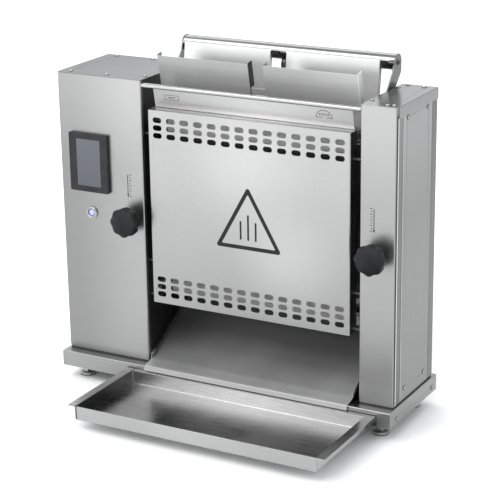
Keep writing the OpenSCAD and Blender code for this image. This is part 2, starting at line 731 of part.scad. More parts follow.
// Bush that guides a spindle through a column's front
module spindle_bush(x) difference() {
    union() {
        rod_y(x, [front_y - 2, front_y], col_z + knob_z, bush_r + 4);
        rod_y(x, [front_y, front_y + 10], col_z + knob_z, bush_r);
    }
    rod_y(x, [front_y - 3, front_y + 11], col_z + knob_z, spindle_d / 2 + run);
}

// ---- fasteners on the casing ----

module fasteners() color(bright_steel) {
    for (p = concat(lid_left, lid_right)) translate([p.x, front_y + p.y, col_top + sheet]) screw(shank = sheet);
    for (side = [-1, 1]) for (y = side_screw_ys) for (z = side_screw_zs)
        translate([side * right_x, y, z]) rotate([0, side * 90, 0]) screw(shank = sheet);
    for (side = [-1, 1]) for (y = base_screw_ys)
        translate([side * base_x, y, base_screw_z]) rotate([0, side * 90, 0]) screw(shank = sheet);
    for (x = [-foot_x, foot_x]) for (y = foot_y) difference() {
        translate([x, y, base_z + sheet]) cylinder(h = 6.5, r = 7.5, $fn = 6);
        rod_z(x, y, [base_z, base_z + 9], stud_d / 2 + run);
    }
    for (x = knob_x) spindle_bush(x);
}

// ---- moving assemblies ----

module tray() color(steel) {
    pan([tray_x0 - sheet, tray_x1 + sheet], [tray_front, base_y0 - tray_rim], [tray_top, tray_bottom], fold_r);
    span([flange_l, flange_r], [base_y0 - tray_rim, base_y0 - 1.5], [tray_top - sheet, tray_top]);
    flange(flange_l, tray_x0, flange_l + 13);
    flange(flange_r, tray_x1, flange_r - 13);
}

// Side flange of the tray, with a tab that stays in its guide
module flange(x_out, x_wall, x_tab) translate([0, 0, tray_top - sheet]) linear_extrude(sheet)
    polygon([[x_wall, tray_front], [x_wall, base_y0 - tray_rim], [x_tab, base_y0 - tray_rim],
        [x_tab, tab_back], [x_out, tab_back], [x_out, tray_front]]);

module vent_slots() for (row = [0 : 2]) for (i = [0 : slot_columns - 1])
    translate([(i - (slot_columns - 1) / 2) * slot_pitch_x, row * slot_pitch_z]) obround(slot_l, slot_h);

// Perforated cover: a face with side returns and a ledge across the top
module front_cover() color(bright_steel) difference() {
    union() {
        translate([0, 0, cover_z[0]]) linear_extrude(cover_h) bent_sheet([
            [cover_x[0] + 0.6, cover_y + cover_side], [cover_x[0] + 0.6, cover_y + 0.6],
            [cover_x[1] - 0.6, cover_y + 0.6], [cover_x[1] - 0.6, cover_y + cover_side]], t = 1.2);
        span([cover_x[0] + 1.2, cover_x[1] - 1.2], [cover_y + 1.2, cover_y + 28.5], [cover_z[1] - 1.2, cover_z[1]]);
        span([cover_x[0] + 1.2, cover_x[1] - 1.2], [cover_y + 1.2, cover_y + 12], [cover_z[0], cover_z[0] + 1.2]);
    }
    for (z = [cover_z[0] + 20, cover_z[1] - 20 - 2 * slot_pitch_z])
        translate([mid_x, 0, z]) facing([cover_y - 1, cover_y + 3]) vent_slots();
    for (z = hook_zs) hook_slot(z);
}

// Slots open to the back of both returns, which let the cover slide off its hooks
module hook_slot(z) {
    rod_x([cover_x[0] - 1, cover_x[1] + 1], cover_y + hook_y, z, hook_r + 0.4);
    span([cover_x[0] - 1, cover_x[1] + 1], [cover_y + hook_y, cover_y + cover_side + 1],
        [z - hook_r - 0.4, z + hook_r + 0.4]);
}

module handle_bar() color(bright_steel) {
    across([arm_x[0][1], arm_x[1][0]]) difference() {
        translate(bar) circle(d = bar_d);
        translate(bar) circle(d = bar_d - 3);
    }
    for (x = [arm_x[0][1], arm_x[1][0] - 4]) rod_x([x, x + 4], bar.x, bar.y, bar_d / 2 - 1.5);
    for (end = [[arm_x[0][0], -90], [arm_x[1][1], 90]])
        translate([end[0], bar.x, bar.y]) rotate([0, end[1], 0]) screw(d = 11, h = 3, shank = 3);
}

// Flat arms from the ends of the bar down to the pivots
module handle_arms() color(steel) for (x = arm_x) across(x) difference() {
    union() {
        translate(bar) circle(d = bar_d + 2);
        translate(pivot) circle(16);
        polygon([bar + [17, 0], bar + [16, -21], bar + [-8, -46], pivot + [11, -11.6],
            pivot + [-11.6, 11], bar + [-49, -46], bar + [-22, -13], bar + [-17, 0]]);
    }
    translate(pivot) circle(5 + run);
    translate(bar) circle(2.9);
}

leaf_x = [mid_x - 220, mid_x + 217.5];
leaf_top = [front_y + 141, col_z + 657];
leaf_lean = -8;
leaf_len = 110;
window_x = [mid_x - 21.5, mid_x + 14.5];
window_h = 68.5;
window_lip = 9;

// Rear guide sheet hung from the bar, with a window between its two lanes
module rear_feed_guide() color(steel)
    translate([0, leaf_top.x, leaf_top.y]) rotate([leaf_lean, 0, 0]) {
        difference() {
            span(leaf_x, [0, guide_t], [-leaf_len, 0]);
            translate([(window_x[0] + window_x[1]) / 2, 0, -1.5 - window_h / 2]) facing([-1, 3])
                round_rect(window_x[1] - window_x[0], window_h, 4);
        }
        span([arm_x[0][1], arm_x[1][0]], [0, 22.4], [-guide_t, 0]);
        for (x = [leaf_x[0], leaf_x[1] - guide_t])
            span([x, x + guide_t], [guide_t, 12], [-leaf_len, -guide_t]);
        for (x = [window_x[0] - guide_t, window_x[1]])
            span([x, x + guide_t], [guide_t, window_lip], [-window_h, -9]);
    }

// Levelling foot with a disc, a hexagon and a threaded stud drawn plain
module foot(x, y) color(dark_steel) translate([x, y, 0]) {
    rotate_extrude() polygon([[0, 0], [foot_d / 2 - 1, 0], [foot_d / 2, 1.5], [foot_d / 2, 6],
        [foot_d / 2 - 4, 8.5], [0, 8.5]]);
    cylinder(h = 14, r = 7.5, $fn = 6);
    cylinder(h = 44, d = stud_d);
}

module foot_front_left() foot(-foot_x, foot_y[0]);
module foot_front_right() foot(foot_x, foot_y[0]);
module foot_rear_left() foot(-foot_x, foot_y[1]);
module foot_rear_right() foot(foot_x, foot_y[1]);

base_pan();
left_front_panel();
right_front_panel();
left_inner_wall();
right_inner_wall();
left_side_cover();
right_side_cover();
left_back_panel();
right_back_panel();
left_top_cover();
right_top_cover();
rear_panel();
chute();
top_rail();
upper_front_panel();
front_feed_guide();
platen_front_plate();
platen_rear_plate();
heating_elements();
platen_cap();
inner_brackets();
roller_bearings();
front_belt();
rear_belt();
gear_motor();
motor_bracket();
control_board();
power_supply();
fan_frame();
cable_gland();
touch_panel_housing();
touch_screen();
button_body();
wall_pins();
fasteners();
tray();
front_cover();
handle_bar();
handle_arms();
rear_feed_guide();
left_knob();
left_spindle();
right_knob();
right_spindle();
front_pressure_plate();
rear_pressure_plate();
front_drive_roller();
rear_drive_roller();
front_idler_roller();
rear_idler_roller();
front_gear();
rear_gear();
front_reversing_gear();
rear_reversing_gear();
fan_rotor();
button_cap();
foot_front_left();
foot_front_right();
foot_rear_left();
foot_rear_right();
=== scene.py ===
import math

import bmesh
import bpy
from mathutils import Matrix, Vector

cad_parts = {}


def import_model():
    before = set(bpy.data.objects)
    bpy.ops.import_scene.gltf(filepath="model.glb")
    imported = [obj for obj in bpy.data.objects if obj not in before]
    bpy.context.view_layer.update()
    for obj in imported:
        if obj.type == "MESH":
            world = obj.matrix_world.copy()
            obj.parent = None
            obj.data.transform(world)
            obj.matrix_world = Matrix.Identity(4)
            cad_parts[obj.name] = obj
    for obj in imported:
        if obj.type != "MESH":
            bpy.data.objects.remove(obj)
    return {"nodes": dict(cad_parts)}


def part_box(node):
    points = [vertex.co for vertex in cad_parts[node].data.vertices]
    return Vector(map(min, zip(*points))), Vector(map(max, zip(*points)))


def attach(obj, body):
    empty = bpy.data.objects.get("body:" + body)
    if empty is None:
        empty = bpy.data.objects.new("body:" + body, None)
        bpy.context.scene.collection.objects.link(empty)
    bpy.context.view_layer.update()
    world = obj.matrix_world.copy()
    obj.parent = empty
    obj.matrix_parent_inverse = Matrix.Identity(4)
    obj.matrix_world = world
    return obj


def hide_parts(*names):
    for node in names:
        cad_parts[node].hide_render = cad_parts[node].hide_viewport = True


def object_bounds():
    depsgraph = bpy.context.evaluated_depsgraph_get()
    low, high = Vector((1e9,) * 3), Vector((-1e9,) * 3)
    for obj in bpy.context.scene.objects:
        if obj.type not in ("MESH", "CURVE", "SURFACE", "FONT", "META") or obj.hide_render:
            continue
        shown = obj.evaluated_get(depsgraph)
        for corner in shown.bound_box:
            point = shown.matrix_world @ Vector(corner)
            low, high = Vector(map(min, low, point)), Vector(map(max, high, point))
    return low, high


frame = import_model()
cad_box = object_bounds()
scene = bpy.context.scene
nodes = frame["nodes"]
MM = 0.001
TAU = 2 * math.pi
X, Y, Z = 0, 1, 2


def centre(node):
    """Middle of a CAD node's box."""
    lo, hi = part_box(node)
    return (lo + hi) / 2


# ---------------------------------------------------------------- materials

class Shader:
    """A Principled material whose nodes are added by short calls."""

    def __init__(self, name, **sockets):
        self.mat = bpy.data.materials.new(name)
        self.mat.use_nodes = True
        self.tree = self.mat.node_tree
        self.bsdf = self.tree.nodes["Principled BSDF"]
        for key, value in sockets.items():
            self.bsdf.inputs[key.replace("_", " ")].default_value = value
        self.coords = self.node("ShaderNodeTexCoord").outputs["Object"]

    def put(self, socket, value):
        """Links a socket or sets a value."""
        if isinstance(value, bpy.types.NodeSocket):
            self.tree.links.new(value, socket)
        else:
            socket.default_value = value

    def node(self, kind, inputs=None, **settings):
        made = self.tree.nodes.new(kind)
        for key, value in settings.items():
            setattr(made, key, value)
        for key, value in (inputs or {}).items():
            self.put(made.inputs[key], value)
        return made

    def noise(self, scale, detail=2.0):
        """Noise with so many features per metre along X, Y and Z."""
        place = self.node("ShaderNodeMapping", {"Vector": self.coords, "Scale": scale})
        return self.node("ShaderNodeTexNoise", {"Vector": place.outputs[0], "Scale": 1.0,
                                                "Detail": detail}).outputs["Fac"]

    def cells(self, per_metre):
        """Distance to the nearest of scattered points."""
        return self.node("ShaderNodeTexVoronoi", {"Vector": self.coords,
                                                  "Scale": per_metre}).outputs["Distance"]

    def remap(self, value, to, start=(0.3, 0.7)):
        """Value brought from one range to another; noise mostly lies in the range it starts from."""
        return self.node("ShaderNodeMapRange", {0: value, 1: start[0], 2: start[1],
                                                3: to[0], 4: to[1]}).outputs[0]

    def maths(self, how, a, b=0.0):
        return self.node("ShaderNodeMath", {0: a, 1: b}, operation=how).outputs[0]

    def blend(self, share, low, high):
        """Colour from low to high as share goes from 0 to 1."""
        mix = self.node("ShaderNodeMix", data_type="RGBA")
        self.put(mix.inputs["Factor"], share)
        self.put(mix.inputs["A"], low)
        self.put(mix.inputs["B"], high)
        return mix.outputs["Result"]

    def total(self, *terms):
        value = terms[0]
        for term in terms[1:]:
            value = self.maths("ADD", value, term)
        return value

    def place(self, axis):
        """Position along X, Y or Z in metres."""
        return self.node("ShaderNodeSeparateXYZ", {"Vector": self.coords}).outputs[axis]

    def fade(self, axis, span, to):
        """Soft change between two values across a span in millimetres."""
        return self.node("ShaderNodeMapRange", {
            0: self.place(axis), 1: span[0] * MM, 2: span[1] * MM, 3: to[0], 4: to[1],
        }, interpolation_type="SMOOTHSTEP").outputs[0]

    def spot(self, at, radius, gain):
        """Soft round patch, with its centre and radius in millimetres."""
        near = self.node("ShaderNodeVectorMath", {0: self.coords, 1: Vector(at) * MM}, operation="DISTANCE")
        return self.node("ShaderNodeMapRange", {
            0: near.outputs["Value"], 1: 0.0, 2: radius * MM, 3: gain, 4: 0.0,
        }, interpolation_type="SMOOTHSTEP").outputs[0]

    def bump(self, height, depth, strength=1.0):
        """Relief of a height field, depth metres deep."""
        return self.node("ShaderNodeBump", {"Height": height, "Distance": depth,
                                            "Strength": strength}).outputs["Normal"]

    def finish(self, colour=None, rough=None, normal=None, metallic=None):
        for key, value in (("Base Color", colour), ("Roughness", rough), ("Normal", normal),
                           ("Metallic", metallic)):
            if value is not None:
                self.put(self.bsdf.inputs[key], value)
        return self.mat


BLACK = (0, 0, 0, 1)
STAINLESS = (1.0, 0.997, 0.992, 1)


def grey(value):
    return (value, value, value, 1.0)


def along(axis, run, across):
    """Noise scale with run features per metre along one axis and across them on the other two."""
    return tuple(run if i == axis else across for i in range(3))


def steel(name, tone, rough, axis, streak=0.03, cloud=0.02, smudge=0.04, metal=1.0):
    """Brushed stainless sheet: fine scratches, faint wider streaks and cloudy patches.

    The tone is a number, or a function that makes a field of it from the shader, and it holds the part's
    painted light and shade.
    """
    s = Shader(name, Metallic=metal)
    fine = s.noise(along(axis, 14, 1900), 3.0)
    wide = s.noise(along(axis, 3.5, 260), 2.0)
    patch = s.noise((7, 7, 7), 3.0)
    base = tone(s) if callable(tone) else tone
    light = s.total(1.0, s.remap(fine, (-streak, streak)), s.remap(wide, (-streak * 0.4, streak * 0.4)),
                    s.remap(patch, (-cloud, cloud)))
    colour = s.blend(s.maths("MULTIPLY", light, base), BLACK, STAINLESS)
    roughness = s.total(s.remap(fine, (rough - 0.05, rough + 0.05)), s.remap(patch, (-smudge, smudge)))
    return s.finish(colour, roughness, s.bump(fine, 6e-6, 0.8))


def turned(name, tone, rough, axis):
    """Machined metal with fine rings across its axis."""
    s = Shader(name, Metallic=1.0)
    base = tone(s) if callable(tone) else tone
    fine = s.noise(along(axis, 2200, 60), 2.0)
    patch = s.noise((30, 30, 30), 2.0)
    colour = s.blend(s.maths("MULTIPLY", s.remap(fine, (0.85, 1.15)), base), BLACK, STAINLESS)
    roughness = s.total(s.remap(fine, (rough - 0.06, rough + 0.06)), s.remap(patch, (-0.04, 0.04)))
    return s.finish(colour, roughness, s.bump(fine, 8e-6, 0.7))


def moulded(name, colour, rough, grain=900, depth=3e-5, spread=0.12, shade=None, gloss=0.16):
    """Moulded plastic with a fine spark-eroded grain; shade makes a factor on its colour."""
    s = Shader(name, Specular_IOR_Level=gloss)
    pits = s.cells(grain)
    patch = s.noise((45, 45, 45), 3.0)
    dust = s.noise((700, 700, 700), 2.0)
    low = tuple(c * (1 - spread) for c in colour[:3]) + (1.0,)
    high = tuple(c * (1 + spread) + 0.004 for c in colour[:3]) + (1.0,)
    tone = s.blend(s.remap(patch, (0, 1)), low, high)
    if shade is not None:
        tone = s.blend(shade(s), BLACK, tone)
    roughness = s.maths("ADD", s.remap(dust, (rough - 0.05, rough + 0.05)), s.remap(patch, (-0.04, 0.04)))
    return s.finish(tone, roughness, s.bump(pits, depth, 0.6))


# Finishes by name. The steels are lit and shaded copies of one stainless steel: each part's tone, with its
# fades and spots, is painted light and shade. The tones' spans, centres and radii are in the frame's
# millimetres.
M = {
    # Painted light and shade: darker towards the left of the left column and lighter towards the top; on the
    # right panel's outer return past x 379, a painted highlight strip from y 27.4 to 30.6 with painted shade
    # either side; painted shade past y 50.
    "front": steel("steel_front_brushed", lambda s: s.total(
        s.fade(X, (-380, -180), (0.23, 0.32)), s.fade(Z, (450, 665), (0, 0.072)),
        s.maths("MULTIPLY", s.fade(X, (378.5, 379.5), (0, 1)), s.total(
            s.fade(Y, (27, 27.4), (-0.16, 0.4)), s.fade(Y, (30.6, 31), (0, -0.56)))),
        s.fade(Y, (46.5, 50), (0, -0.13))), 0.35, X, 0.022),
    # Painted light: lighter towards the top, and a painted highlight on the strip in front of y 53 at its
    # front edge.
    "side": steel("steel_side_brushed", lambda s: s.total(
        s.fade(Z, (420, 660), (0.232, 0.325)), s.fade(Y, (53, 54.5), (0.22, 0))), 0.30, Z),
    "rear": steel("steel_rear_brushed", 0.15, 0.30, Z),
    # Painted light: the left lid lighter towards its right, and the right lid lighter towards its right
    # edge.
    "top": steel("steel_top_brushed", lambda s: s.total(
        s.fade(X, (-380, -180), (0.152, 0.203)), s.fade(X, (100, 380), (0, 0.075))), 0.24, Y),
    "base": steel("steel_base_brushed", 0.285, 0.28, X, 0.04),
    # Painted light: lighter towards the top, two soft pools of painted light, and a lighter top flange and
    # side returns past y 25 to 33 that paint out the shade there.
    "cover": steel("steel_cover_brushed", lambda s: s.total(
        s.fade(Z, (200, 620), (0.3, 0.392)), s.spot((64, 15, 521), 170, 0.07),
        s.spot((150, 15, 330), 150, 0.08), s.fade(Y, (25, 33), (0, 0.3))), 0.31, X, 0.012),
    # Painted light: a soft pool of painted light, and a painted highlight along its lower fold below z 610.
    "upper": steel("steel_upper_brushed", lambda s: s.total(
        0.325, s.spot((80, 40, 630), 250, 0.13), s.fade(Z, (609.8, 612), (0.3, 0))), 0.31, X, 0.02),
    # Painted light: lighter towards the bottom and towards the right; it also has a dark line from x 41 to
    # 43 and is lighter past x 278.
    "guide": steel("steel_guide_brushed", lambda s: s.total(
        s.fade(Z, (600, 705), (0.45, 0.37)), s.fade(X, (120, 277), (0, 0.09)),
        s.fade(X, (277.5, 278.5), (0, 0.2)), s.fade(X, (40.6, 41), (0, -0.35)),
        s.fade(X, (43, 43.5), (0, 0.35))), 0.42, X, 0.06, 0.04, metal=0.35),
    # Painted shade: the flange and lips behind y 164 are darker.
    "leaf": steel("steel_leaf_brushed", lambda s: s.fade(Y, (163, 164), (0.54, 0.24)), 0.34, X, metal=0.7),
    # Painted light and shade: darker on its front face, a soft pool of painted light in its middle, lighter
    # towards the back, and painted shade along its left inner wall.
    "tray": steel("steel_tray_brushed", lambda s: s.total(
        s.fade(Y, (-225, -224), (0.38, 0.485)), s.spot((70, -110, 36), 210, 0.12),
        s.fade(Y, (-36, -20), (0, 0.06)), s.fade(X, (-201.4, -200.9), (0, -0.33)),
        s.fade(X, (-197.5, -196.5), (0, 0.33))), 0.27, X, 0.018, 0.015),
    # Painted light and shade: darker towards the back, lighter at its front bend and lip, darker low on the
    # lip past y -5, and a painted shadow at its left side.
    "chute": steel("steel_chute_brushed", lambda s: s.total(
        s.fade(Y, (20, 170), (0.26, 0.185)), s.fade(Y, (17, 28), (0.06, 0)),
        s.fade(Y, (16, 17), (0.14, 0)), s.fade(Y, (-5, -4), (-0.16, 0)),
        s.spot((-165, 95, 120), 110, -0.1)), 0.42, X, 0.05, 0.11, metal=0.55),
    "arm": steel("steel_arm_brushed", 0.165, 0.30, Z),
    # Painted light and shade: dark below z 716, painted shade under the flange; a painted highlight band
    # from z 718 to 721; darker again above z 725.5.
    "bar": steel("steel_bar_polished", lambda s: s.total(
        s.fade(Z, (711, 712.5), (0.07, 0.12)), s.fade(Z, (716, 718), (0, 0.3)),
        s.fade(Z, (721, 725.5), (0, -0.26))), 0.18, X, 0.02),
    # Painted light and shade: a painted highlight band from z 654 to 657.5, painted shade below it and a
    # darker top.
    "rail": steel("steel_rail_polished", lambda s: s.total(
        s.fade(Z, (652, 654), (0.16, 0.36)), s.fade(Z, (657.5, 659.5), (0, -0.14))), 0.18, X, 0.02),
    # Painted shade: a dark steel that stands for the shade inside the machine.
    "inner": steel("steel_inner_painted_shade", 0.1, 0.42, Z, 0.03, 0.08),
}


def plated(name, tone, rough):
    """Plain bright metal, plated or ground, with a fine grain."""
    s = Shader(name, Metallic=1.0)
    grain = s.noise((900, 900, 900), 2.0)
    patch = s.noise((120, 120, 120), 2.0)
    colour = s.blend(s.remap(patch, (0, 1)), grey(tone * 0.85), grey(tone * 1.1))
    return s.finish(colour, s.remap(grain, (rough - 0.06, rough + 0.06)), s.bump(grain, 5e-6, 0.5))


M["screw"] = plated("screw_steel_plated", 0.4, 0.24)
# Painted shade: pins and bearings made dark for the shade inside the machine.
M["pin"] = plated("pin_steel_painted_shade", 0.07, 0.38)
M["chrome"] = plated("button_ring_chrome", 0.42, 0.12)
# Painted shade and highlights: a light left edge, a dark middle and a light line from x 64 to 65.4.
M["strap"] = steel("steel_strap_painted_shade", lambda s: s.total(
    s.fade(X, (58.6, 59), (0.6, 0.05)), s.fade(X, (63.8, 64.2), (0, 0.25)),
    s.fade(X, (65, 65.4), (0, -0.25))), 0.4, Z)
M["bead"] = plated("weld_bead_ground", 0.5, 0.3)
M["platen"] = steel("platen_ground_metal", 0.42, 0.38, Z, 0.06)
M["cap"] = steel("platen_cap_steel", 0.5, 0.32, X, 0.05)
# Painted shade: the shafts are dark at their ends, past x -140 and x 265.
M["shaft"] = turned("turned_shaft_steel", lambda s: s.total(
    s.fade(X, (-142, -138), (0.08, 0.55)), s.fade(X, (263, 267), (0, -0.47))), 0.25, X)
M["spindle"] = turned("turned_spindle_steel", 0.6, 0.2, Y)


def belt_weave():
    """Open woven belt, with painted light where it wraps the rollers and painted shade along the runs
    between them.
    """
    s = Shader("belt_woven_mesh", Metallic=0.15)
    split = s.node("ShaderNodeSeparateXYZ", {"Vector": s.coords})
    pitch = 2.0 * MM
    warp = s.maths("SINE", s.maths("MULTIPLY", split.outputs["X"], TAU / pitch))
    weft = s.maths("SINE", s.maths("MULTIPLY", s.maths("ADD", split.outputs["Z"], split.outputs["Y"]),
                                   TAU / pitch))
    cross = s.maths("MULTIPLY", warp, weft)
    height = s.maths("ADD", s.maths("ABSOLUTE", warp), s.maths("ABSOLUTE", weft))
    scorch = s.noise((14, 14, 14), 4.0)
    wrap = s.total(s.fade(Z, (556, 561), (0, 1)), s.fade(Z, (247, 252), (0.7, 0)))
    base = s.blend(s.remap(scorch, (0, 1)), (0.5, 0.495, 0.48, 1), (0.66, 0.655, 0.64, 1))
    light = s.blend(s.remap(cross, (0, 0.35), (-1, 1)), base, (0.78, 0.775, 0.76, 1))
    dark = s.blend(s.remap(scorch, (0, 1)), (0.03, 0.03, 0.029, 1), (0.05, 0.05, 0.048, 1))
    colour = s.blend(wrap, dark, light)
    return s.finish(colour, s.remap(scorch, (0.42, 0.6)), s.bump(height, 1.5e-4, 0.7))


M["belt"] = belt_weave()


def heater():
    """Mineral tube: dull nickel alloy with heat colours."""
    s = Shader("heater_tube_oxide", Metallic=0.8)
    patch = s.noise((40, 90, 90), 3.0)
    fine = s.noise((900, 900, 900), 2.0)
    colour = s.blend(s.remap(patch, (0, 1)), (0.09, 0.075, 0.07, 1), (0.21, 0.2, 0.19, 1))
    return s.finish(colour, s.remap(fine, (0.42, 0.58)), s.bump(fine, 1e-5, 0.6))


M["heater"] = heater()
M["gear"] = steel("gear_ground_steel", 0.42, 0.33, X, 0.06)


def painted(name, low, high, rough):
    """Sprayed paint with a faint orange peel."""
    s = Shader(name, Coat_Weight=0.15, Coat_Roughness=0.3)
    patch = s.noise((25, 25, 25), 3.0)
    peel = s.noise((500, 500, 500), 2.0)
    return s.finish(s.blend(s.remap(patch, (0, 1)), low, high), s.remap(peel, (rough - 0.06, rough + 0.06)),
                    s.bump(peel, 3e-5, 0.5))


M["motor"] = painted("motor_grey_paint", (0.06, 0.065, 0.07, 1), (0.1, 0.105, 0.11, 1), 0.42)
M["supply"] = steel("supply_case_galvanised", 0.5, 0.4, Z, 0.05, 0.1)


def board():
    """Solder mask over copper tracks, with dark packages standing off it."""
    s = Shader("board_solder_mask", Coat_Weight=0.3, Coat_Roughness=0.2)
    split = s.node("ShaderNodeSeparateXYZ", {"Vector": s.coords})
    tracks = s.node("ShaderNodeTexBrick", {"Vector": s.node("ShaderNodeCombineXYZ", {
        "X": split.outputs["Y"], "Y": split.outputs["Z"]}).outputs[0], "Scale": 260.0,
        "Color1": (0.015, 0.11, 0.05, 1), "Color2": (0.02, 0.15, 0.07, 1), "Mortar": (0.06, 0.24, 0.12, 1),
        "Mortar Size": 0.04})
    lo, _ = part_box("control_board")
    packages = s.maths("GREATER_THAN", split.outputs["X"], lo.x + 11 * MM)
    grain = s.noise((600, 600, 600), 2.0)
    package_tone = s.blend(grain, (0.02, 0.02, 0.022, 1), (0.06, 0.06, 0.065, 1))
    colour = s.blend(packages, tracks.outputs["Color"], package_tone)
    return s.finish(colour, s.remap(grain, (0.3, 0.5)), s.bump(tracks.outputs["Fac"], 4e-5, 0.5))


M["board"] = board()
# Also used for the painted shade lines and painted shadow rings.
M["black"] = moulded("black_nylon_and_painted_shade", (0.018, 0.018, 0.02), 0.42)


def knob_shade(s):
    """Painted shade low on each knob."""
    terms = [1.0]
    for node, gain in (("left_knob", -0.45), ("right_knob", -0.75)):
        terms.append(s.spot(centre(node) / MM + Vector((9, 0, -22)), 52, gain))
    return s.total(*terms)


M["knob"] = moulded("knob_black_phenolic", (0.021, 0.0215, 0.0235), 0.34, 1100, 2e-5,
                    shade=knob_shade, gloss=0.07)
M["bezel"] = moulded("bezel_black_abs", (0.02, 0.021, 0.024), 0.36, 1300, 1.5e-5)
M["print"] = moulded("printed_black_ink", (0.014, 0.014, 0.015), 0.45, 2400, 8e-6)


def glass():
    """Switched-off display under a smooth cover glass."""
    s = Shader("screen_cover_glass", Coat_Weight=1.0, Coat_Roughness=0.04, Specular_IOR_Level=0.5)
    lo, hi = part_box("touch_screen")
    split = s.node("ShaderNodeSeparateXYZ", {"Vector": s.coords})
    rise = s.remap(split.outputs["Z"], (0, 1), (lo.z, hi.z))
    cells = s.node("ShaderNodeTexBrick", {"Vector": s.node("ShaderNodeCombineXYZ", {
        "X": split.outputs["X"], "Y": split.outputs["Z"]}).outputs[0], "Scale": 3400.0,
        "Color1": (0.4, 0.4, 0.4, 1), "Color2": (0.6, 0.6, 0.6, 1), "Mortar": (0.3, 0.3, 0.3, 1)})
    smear = s.noise((60, 60, 25), 4.0)
    # Lighter towards the top: a painted reflection.
    base = s.blend(rise, (0.013, 0.019, 0.029, 1), (0.034, 0.043, 0.061, 1))
    lit = s.blend(s.maths("MULTIPLY", cells.outputs["Fac"], 0.12), base, (0.3, 0.33, 0.38, 1))
    return s.finish(lit, s.remap(smear, (0.1, 0.2)))


M["glass"] = glass()


def lens():
    """Lilac translucent button cap lit softly from behind."""
    s = Shader("button_lilac_lens", Coat_Weight=0.6, Coat_Roughness=0.1)
    middle = centre("button_cap")
    near = s.node("ShaderNodeVectorMath", {0: s.coords, 1: middle}, operation="DISTANCE").outputs["Value"]
    fine = s.noise((800, 800, 800), 2.0)
    colour = s.blend(s.remap(near, (0, 1), (1.5 * MM, 8.5 * MM)), (0.42, 0.42, 0.66, 1), (0.2, 0.2, 0.38, 1))
    s.put(s.bsdf.inputs["Emission Color"], colour)
    s.bsdf.inputs["Emission Strength"].default_value = 0.05
    return s.finish(colour, s.remap(fine, (0.25, 0.4)), s.bump(fine, 1e-5, 0.4))


M["lens"] = lens()


def glow():
    """The lit symbol on the button cap."""
    s = Shader("button_symbol_glow")
    fine = s.noise((900, 900, 900), 2.0)
    s.put(s.bsdf.inputs["Emission Color"], (0.8, 0.85, 1.0, 1.0))
    s.bsdf.inputs["Emission Strength"].default_value = 0.35
    return s.finish(s.blend(fine, (0.65, 0.7, 0.9, 1), (0.85, 0.88, 1.0, 1)), s.remap(fine, (0.3, 0.45)))


M["glow"] = glow()


def foot_material():
    """Zinc-plated foot: turned rings on the disc, a thread on the stud, a rubber pad under it."""
    s = Shader("foot_zinc_and_rubber")
    split = s.node("ShaderNodeSeparateXYZ", {"Vector": s.coords})
    height = split.outputs["Z"]
    thread = s.maths("SINE", s.maths("MULTIPLY", height, TAU / (1.25 * MM)))
    stud = s.maths("GREATER_THAN", height, 14.2 * MM)
    pad = s.maths("LESS_THAN", height, 2.5 * MM)
    grain = s.noise((500, 500, 500), 2.0)
    patch = s.noise((90, 90, 90), 3.0)
    metal = s.blend(s.remap(patch, (0, 1)), (0.42, 0.43, 0.4, 1), (0.6, 0.61, 0.57, 1))
    colour = s.blend(pad, metal, s.blend(grain, (0.012, 0.012, 0.012, 1), (0.03, 0.03, 0.03, 1)))
    relief = s.maths("ADD", s.maths("MULTIPLY", thread, stud), s.maths("MULTIPLY", grain, 0.05))
    rough = s.maths("ADD", s.remap(grain, (0.26, 0.38)), s.maths("MULTIPLY", pad, 0.35))
    return s.finish(colour, rough, s.bump(relief, 2.5e-4, 0.8), s.maths("SUBTRACT", 1.0, pad))


M["foot"] = foot_material()

